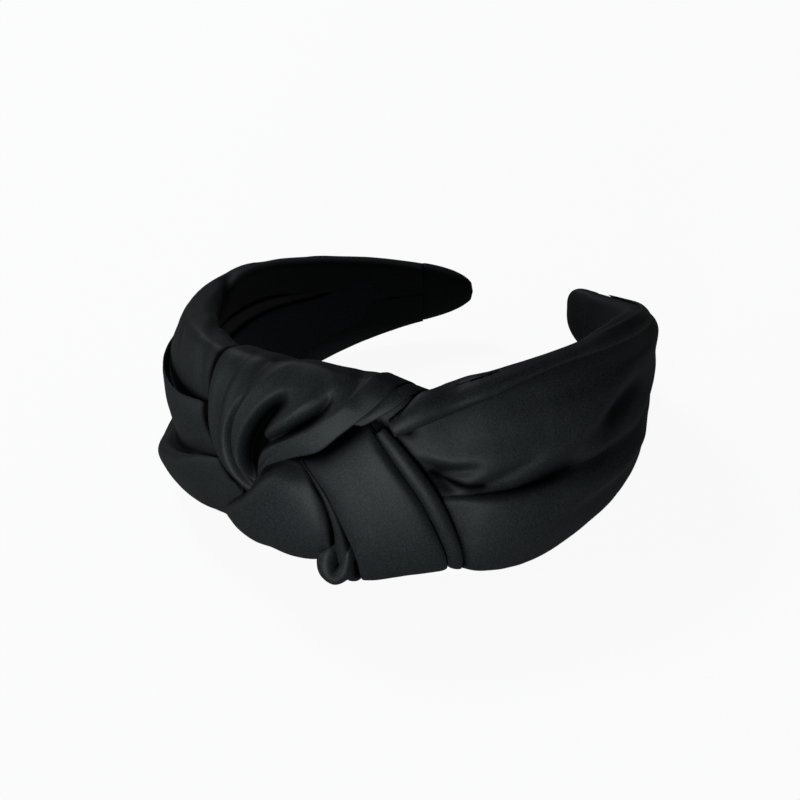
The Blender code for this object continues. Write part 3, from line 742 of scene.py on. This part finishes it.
def small_rolls():
    """The narrow passes beside the front wrap."""
    hem = rolled([(6.4, 40), (9.3, 35.2), (11.8, 30.4), (13.8, 24), (15, 18), (15.4, 12), (15.8, 6),
                  (16.2, 0.4)], (1.0, 1.4, 1.8, 2.3, 2.9, 3.0), 0.8, (2.8, 3.5, 3.7, 3.8, 3.6, 3.2))
    side_roll = rolled([(23.4, 51), (25.6, 47.4), (28.4, 42.3), (31, 37), (33, 32.6), (34.9, 27.4),
                        (36.6, 22), (38.1, 16.4), (39.4, 10.6), (40, 5), (40.4, -12)],
                       (1.9, 2.7, 2.9, 2.9, 2.7, 2.5, 2.2), 0.6, (2.4, 3.8, 4.0, 4.0, 3.6, 2.4, 0.9))
    under = [
        [(16.6, 53.6, 0.8), (21.6, 59, 0.8), (27.6, 64, 0.8), (33, 69, 0.4), (34.4, 80, 0.3)],
        [(17.4, 52.6, 1.4), (22.6, 57.6, 2.2), (28.8, 62.8, 2.2), (35, 67.8, 1.2), (36.4, 80, 0.6)],
        [(18.8, 52.2, 1.6), (24, 56.8, 2.6), (30.4, 61.4, 2.6), (37, 66.2, 1.4), (38.6, 80, 0.7)],
        [(20, 52.2, 1.4), (25.2, 56.2, 2.2), (31.4, 60.2, 2.2), (38.4, 64.6, 1.2), (40, 80, 0.6)],
        [(19.4, 53, 0.7), (25, 57.2, 0.7), (31, 61.2, 0.7), (37.8, 66, 0.7), (39.4, 80, 0.5)],
    ]
    # painted shadow along both edges of the hem, beside the puff and the front wrap
    shade = {"knot_front_hem": [
        ([(6.6, 40), (9.8, 34), (12, 28), (13.2, 21), (13.2, 13), (13.4, 10)], 0.6, 0.9),
        ([(8, 40), (11.6, 34), (14.2, 28.4), (15.8, 22), (16.9, 16), (17.8, 10), (18.2, 3)], 0.9, 2.0),
    ]}
    for name, rails, seed in (("knot_front_hem", hem, 2.2), ("knot_side_roll", side_roll, 4.4),
                              ("knot_under_strip", under, 6.6)):
        knot_pass(name, shaded(laid(rails, 110, 44), shade.get(name, [])), 0.08, seed)


def curl():
    """The end of the hem, rolled back on itself below the band: a hook with a pocket in it."""
    path = [(15.8, 20), (16.3, 14), (16.2, 7.6), (15.2, 3.3), (13.3, 1.6), (11.5, 3.2), (11, 6.8),
            (11.8, 10.2), (13, 12)]
    rails = rolled(path, (0.9, 1.5, 2.4, 3.0, 3.1, 2.8, 1.6), CURL_RADIUS,
                   (81.0, 82.4, 83.4, 83.6, 83.2, 82.0, 79.0))
    grid = across_rails([resample(rail, 110) for rail in rails], 44)
    turn = np.radians(grid[..., 0])
    points = np.stack([grid[..., 2] * np.sin(turn), -grid[..., 2] * np.cos(turn), grid[..., 1]], -1)
    piece = sheet_mesh("knot_curl_cloth", above_table(points), "crown", SATIN, 0.3)
    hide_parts("knot_curl")


def top_roll():
    """The rolled fold that leaves the knot along the right arm's top edge."""
    angles = (26, 29, 33, 37, 42, 48, 54, 61, 70, 82, 96, 112, 130, 145)
    heights = (51.6, 53.8, 56.2, 58.2, 60.4, 62.6, 64.4, 66, 67.2, 67.6, 66.2, 61.8, 56.4, 52)
    rails = rolled(list(zip(angles, heights)), (2.6, 3.6, 3.8, 3.6, 3.0, 2.4, 2.2, 1.8, 1.4), 0.7,
                   (3.6, 4.6, 4.8, 4.2, 3.4, 2.6, 2.2, 1.6, 0.8))
    piece = cloth("knot_top_roll_cloth", laid(rails, 200, 48), None, SATIN, ripple=0.1, seed=11.3)
    bend_with_arm(piece)
    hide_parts("knot_top_roll")


def tip_fold(side):
    """Cloth turned over the end of the hoop."""
    share = np.linspace(0, 1, 26)[:, None]
    turn = np.linspace(0, 2 * math.pi, 73)[None, :]
    end = HALF_ARC + (1.8 if side < 0 else -2.2)
    angle = 149.5 + (end - 149.5) * share
    scale = np.maximum(1 - share ** 3.2, 0) ** (1 / 2.6)
    low, high = lower_edge(side * angle), upper_edge(side * angle)
    middle, half = (low + high) / 2, (high - low) / 2
    outer = HEAD_RADIUS + taper(CROWN_THICKNESS, TIP_THICKNESS, angle)
    centre, reach = (HEAD_RADIUS + outer) / 2, (outer - HEAD_RADIUS) / 2
    if side > 0:
        squarer = np.maximum(1 - share ** 7.0, 0) ** (1 / 2.6)
        scale = scale + (squarer - scale) * smoothstep(0.2, 0.9, np.sin(turn))
    across = np.sign(np.cos(turn)) * np.abs(np.cos(turn)) ** 0.75
    up = np.sign(np.sin(turn)) * np.abs(np.sin(turn)) ** 0.75
    grow = 0.95 + 0.055 * smoothstep(0.0, 0.14, share)
    radius = centre + reach * scale * across * grow
    height = middle + half * scale * up * grow
    spin = np.radians(side * angle) + 0 * turn
    points = np.stack([radius * np.sin(spin), -radius * np.cos(spin), height], -1)
    if side > 0:
        points = points[:, ::-1]
    name = SIDES[side]
    piece = sheet_mesh(f"{name}_tip_fold_cloth", points, f"{name}_arm", SATIN, 0.5)
    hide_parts(f"{name}_tip_fold")


def lining(side):
    """Half of the ribbon on the head face, from the crown to one tip."""
    name = SIDES[side]
    angles = side * np.linspace(0, 150.5, 120)
    rows = []
    for angle in angles:
        middle, half = middle_and_half(angle)
        turn = math.radians(angle)
        tuck = 0.3 * float(smoothstep(25, 60, -angle) * (1 - smoothstep(115, 146, -angle)))
        heights = middle + LINING_SHARE * half * np.linspace(-1, 1 - 2 * tuck, 26)
        radius = HEAD_RADIUS - 0.5 + 0.25 * np.abs(np.linspace(-1, 1, 26)) ** 6
        radius = radius + 0.9 * float(smoothstep(130, 149.8, abs(angle)))
        rows.append(np.stack([radius * math.sin(turn), -radius * math.cos(turn), heights], -1))
    points = np.array(rows)
    if side < 0:
        points = points[:, ::-1]
    piece = sheet_mesh(f"lining_ribbon_{name}", points, None, LINING, 0.4)
    bend_with_arm(piece)
    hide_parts("lining_strip")


def tube(name, rings, body, material):
    """A closed solid through rings of points in the hoop's millimetres."""
    rings = np.asarray(rings)
    count, around = rings.shape[:2]
    vertices = np.concatenate([rings.reshape(-1, 3), rings[:1].mean(axis=1), rings[-1:].mean(axis=1)])
    index = np.arange(count * around).reshape(count, around)
    nxt = np.roll(index, -1, axis=1)
    walls = np.stack([index[:-1], nxt[:-1], nxt[1:], index[1:]], -1).reshape(-1, 4).tolist()
    caps = [[count * around, b, a] for a, b in zip(index[0], nxt[0])]
    caps += [[count * around + 1, a, b] for a, b in zip(index[-1], nxt[-1])]
    mesh = bpy.data.meshes.new(name)
    mesh.from_pydata(to_frame(vertices).tolist(), [], walls + caps)
    face = bmesh.new()
    face.from_mesh(mesh)
    bmesh.ops.recalc_face_normals(face, faces=face.faces)
    face.to_mesh(mesh)
    face.free()
    mesh.shade_smooth()
    piece = bpy.data.objects.new(name, mesh)
    bpy.context.scene.collection.objects.link(piece)
    mesh.materials.append(material)
    if body:
        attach(piece, body)
    return piece


def section(angle, inner, outer_inset, side_inset):
    """A ring through the padding: flat towards the head, crowned outwards."""
    middle, half = middle_and_half(angle)
    half -= side_inset
    crest = HEAD_RADIUS + float(taper(CROWN_THICKNESS, TIP_THICKNESS, angle)) - outer_inset
    turn = np.linspace(-math.pi / 2, math.pi / 2, 25)
    radius = np.concatenate([inner + (crest - inner) * np.cos(turn) ** 0.7, np.full(9, inner)])
    height = np.concatenate([middle + half * np.sin(turn), middle + half * np.linspace(0.9, -0.9, 9)])
    spin = math.radians(angle)
    return np.stack([radius * math.sin(spin), -radius * math.cos(spin), height], -1)


def hidden_core(side):
    """Half of the plastic hoop and of the foam on it, from the crown to one tip."""
    hoop = []
    for angle in side * np.linspace(0, 155, 90):
        middle, _ = middle_and_half(angle)
        half = (HOOP_WIDTH + (HOOP_TIP_WIDTH - HOOP_WIDTH) * float(smoothstep(35, TAPER_TO, abs(angle)))) / 2
        turn = np.linspace(0, 2 * math.pi, 32, endpoint=False)
        radius = FLEX_RADIUS + HOOP_HALF * np.sign(np.cos(turn)) * np.abs(np.cos(turn)) ** 0.3
        height = middle + half * np.sign(np.sin(turn)) * np.abs(np.sin(turn)) ** 0.3
        spin = math.radians(angle)
        hoop.append(np.stack([radius * math.sin(spin), -radius * math.cos(spin), height], -1))
    piece = tube(f"hoop_{SIDES[side]}", hoop, None, MOULDING)
    bend_with_arm(piece)
    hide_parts("hoop_core")
    foam = [section(angle, FLEX_RADIUS + HOOP_HALF + 0.3, 2.4, 5.0)
            for angle in side * np.linspace(0, 148.5, 90)]
    piece = tube(f"foam_{SIDES[side]}", foam, None, FOAM)
    bend_with_arm(piece)
    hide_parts("foam_pad")


def crown_satin():
    """The satin over the crown, under the knot."""
    angles = (-19, -8, 4, 16, 30)
    rails = [rail(angles, beyond_bottom(angles, 10), -0.2), rail(angles, beyond_bottom(angles, 2), -0.4),
             rail(angles, spread(angles, 0.15), -0.6), rail(angles, spread(angles, 0.5), -0.6),
             rail(angles, spread(angles, 0.85), -0.6), rail(angles, beyond_top(angles, 2), -0.4),
             rail(angles, beyond_top(angles, 10), -0.2)]
    grid = laid(rails, 80, 100)
    # painted shade: dark where the knot lies over the satin, fading out towards its lower edge
    painted_shade_under_knot = smoothstep(2.0, 7.0, grid[..., 1] - lower_edge(grid[..., 0]))
    grid = np.concatenate([grid, painted_shade_under_knot[..., None]], axis=-1)
    piece = cloth("crown_satin", grid, "crown", SATIN, thickness=0.5)
    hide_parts("crown_cover")


def glue(name, angle, height, across, up):
    """A flattened bead of glue between the crown's satin and the knot."""
    rings = []
    for share in np.linspace(-1, 1, 17):
        half = up * math.sqrt(max(1 - share * share, 0.02))
        turn = np.linspace(0, 2 * math.pi, 24, endpoint=False)
        girth = np.array([BAND.girth(angle, height)] * 24) + half * np.cos(turn)
        lift = 0.1 + 0.3 * np.sin(turn) * math.sqrt(max(1 - share * share, 0.02))
        rings.append(BAND.points(np.full(24, angle + across * share), girth, lift))
    piece = tube(f"{name}_bead", rings, "crown", BEAD)
    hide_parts(name)


def make_band():
    right_sleeve()
    left_sleeve()
    over_wrap()
    front_wrap()
    puff()
    small_rolls()
    curl()
    top_roll()
    crown_satin()
    glue("knot_glue_upper", 0.0, 52.0, 6.0, 5.0)
    glue("knot_glue_lower", 25.0, 21.0, 4.0, 7.0)
    for side in SIDES:
        tip_fold(side)
        lining(side)
        hidden_core(side)


make_band()


# ---------------------------------------------------------------- stage, light and camera

DAYLIGHT = (0.92, 0.98, 1.0)
AIM_HEIGHT = 32.5         # height on the hoop's axis that the camera stands off


def seen_brighter(nodes, links, cast, seen, strength):
    """A strength that is one value for the light that is cast and another for what the camera sees."""
    path = nodes.new("ShaderNodeLightPath")
    level = nodes.new("ShaderNodeMapRange")
    level.inputs["To Min"].default_value = cast
    level.inputs["To Max"].default_value = seen
    links.new(path.outputs["Is Camera Ray"], level.inputs["Value"])
    links.new(level.outputs["Result"], strength)


def stage():
    """A pale floor. Most of its brightness is its own, so that it stays even and casts little light."""
    bpy.ops.mesh.primitive_plane_add(size=6.0, location=(0, 0, -0.0002))
    floor = bpy.context.object
    floor.name = "floor"
    material, nodes, links, shader = new_material("floor")
    shader.inputs["Base Color"].default_value = (0.12, 0.12, 0.12, 1)
    shader.inputs["Roughness"].default_value = 0.9
    shader.inputs["Specular IOR Level"].default_value = 0.0
    shader.inputs["Emission Color"].default_value = (1, 1, 1, 1)
    seen_brighter(nodes, links, 0.07, 0.93, shader.inputs["Emission Strength"])
    floor.data.materials.append(material)


def area_light(name, place, target, size, power):
    data = bpy.data.lights.new(name, "AREA")
    data.shape = "DISK"
    data.size = size
    data.energy = power
    data.color = DAYLIGHT
    light = bpy.data.objects.new(name, data)
    light.location = place
    light.rotation_euler = (Vector(target) - Vector(place)).to_track_quat("-Z", "Y").to_euler()
    bpy.context.scene.collection.objects.link(light)


def world():
    """A dim studio, with a pale backdrop behind what the camera sees."""
    scene_world = bpy.data.worlds.new("studio")
    bpy.context.scene.world = scene_world
    scene_world.use_nodes = True
    nodes, links = scene_world.node_tree.nodes, scene_world.node_tree.links
    background = nodes["Background"]
    background.inputs["Color"].default_value = (1, 1, 1, 1)
    seen_brighter(nodes, links, 0.028, 0.97, background.inputs["Strength"])
    bpy.context.scene.view_settings.view_transform = "Standard"


def camera():
    """The camera stands off the hoop's middle, at its own azimuth and elevation from the hoop's plane."""
    azimuth, elevation, distance = math.radians(31.08), math.radians(22.57), 652.9
    back = Vector((math.sin(azimuth) * math.cos(elevation), -math.cos(azimuth) * math.cos(elevation),
                   math.sin(elevation)))
    right = Vector((math.cos(azimuth), math.sin(azimuth), 0))
    up = back.cross(right)
    eye = (Vector((0, 0, AIM_HEIGHT)) + back * distance) * MM
    stand = Matrix((right, up, back)).transposed().to_4x4()
    stand.translation = eye
    data = bpy.data.cameras.new("camera")
    data.sensor_width, data.lens = 36.0, 87.6645
    data.shift_x, data.shift_y = -0.0201875, -0.018425
    data.clip_start, data.clip_end = 0.05, 20
    view = bpy.data.objects.new("camera", data)
    view.matrix_world = HOOP @ stand
    bpy.context.scene.collection.objects.link(view)
    bpy.context.scene.camera = view


stage()
world()
camera()
area_light("key", (0.46, -1.2, 0.08), (0, 0, 0.03), 0.4, 14)
area_light("left_fill", (-1.0, -0.8, 0.3), (0, 0, 0.03), 0.5, 3)
area_light("rim", (-0.7, 0.35, 0.9), (-0.05, 0, 0.05), 0.3, 3)
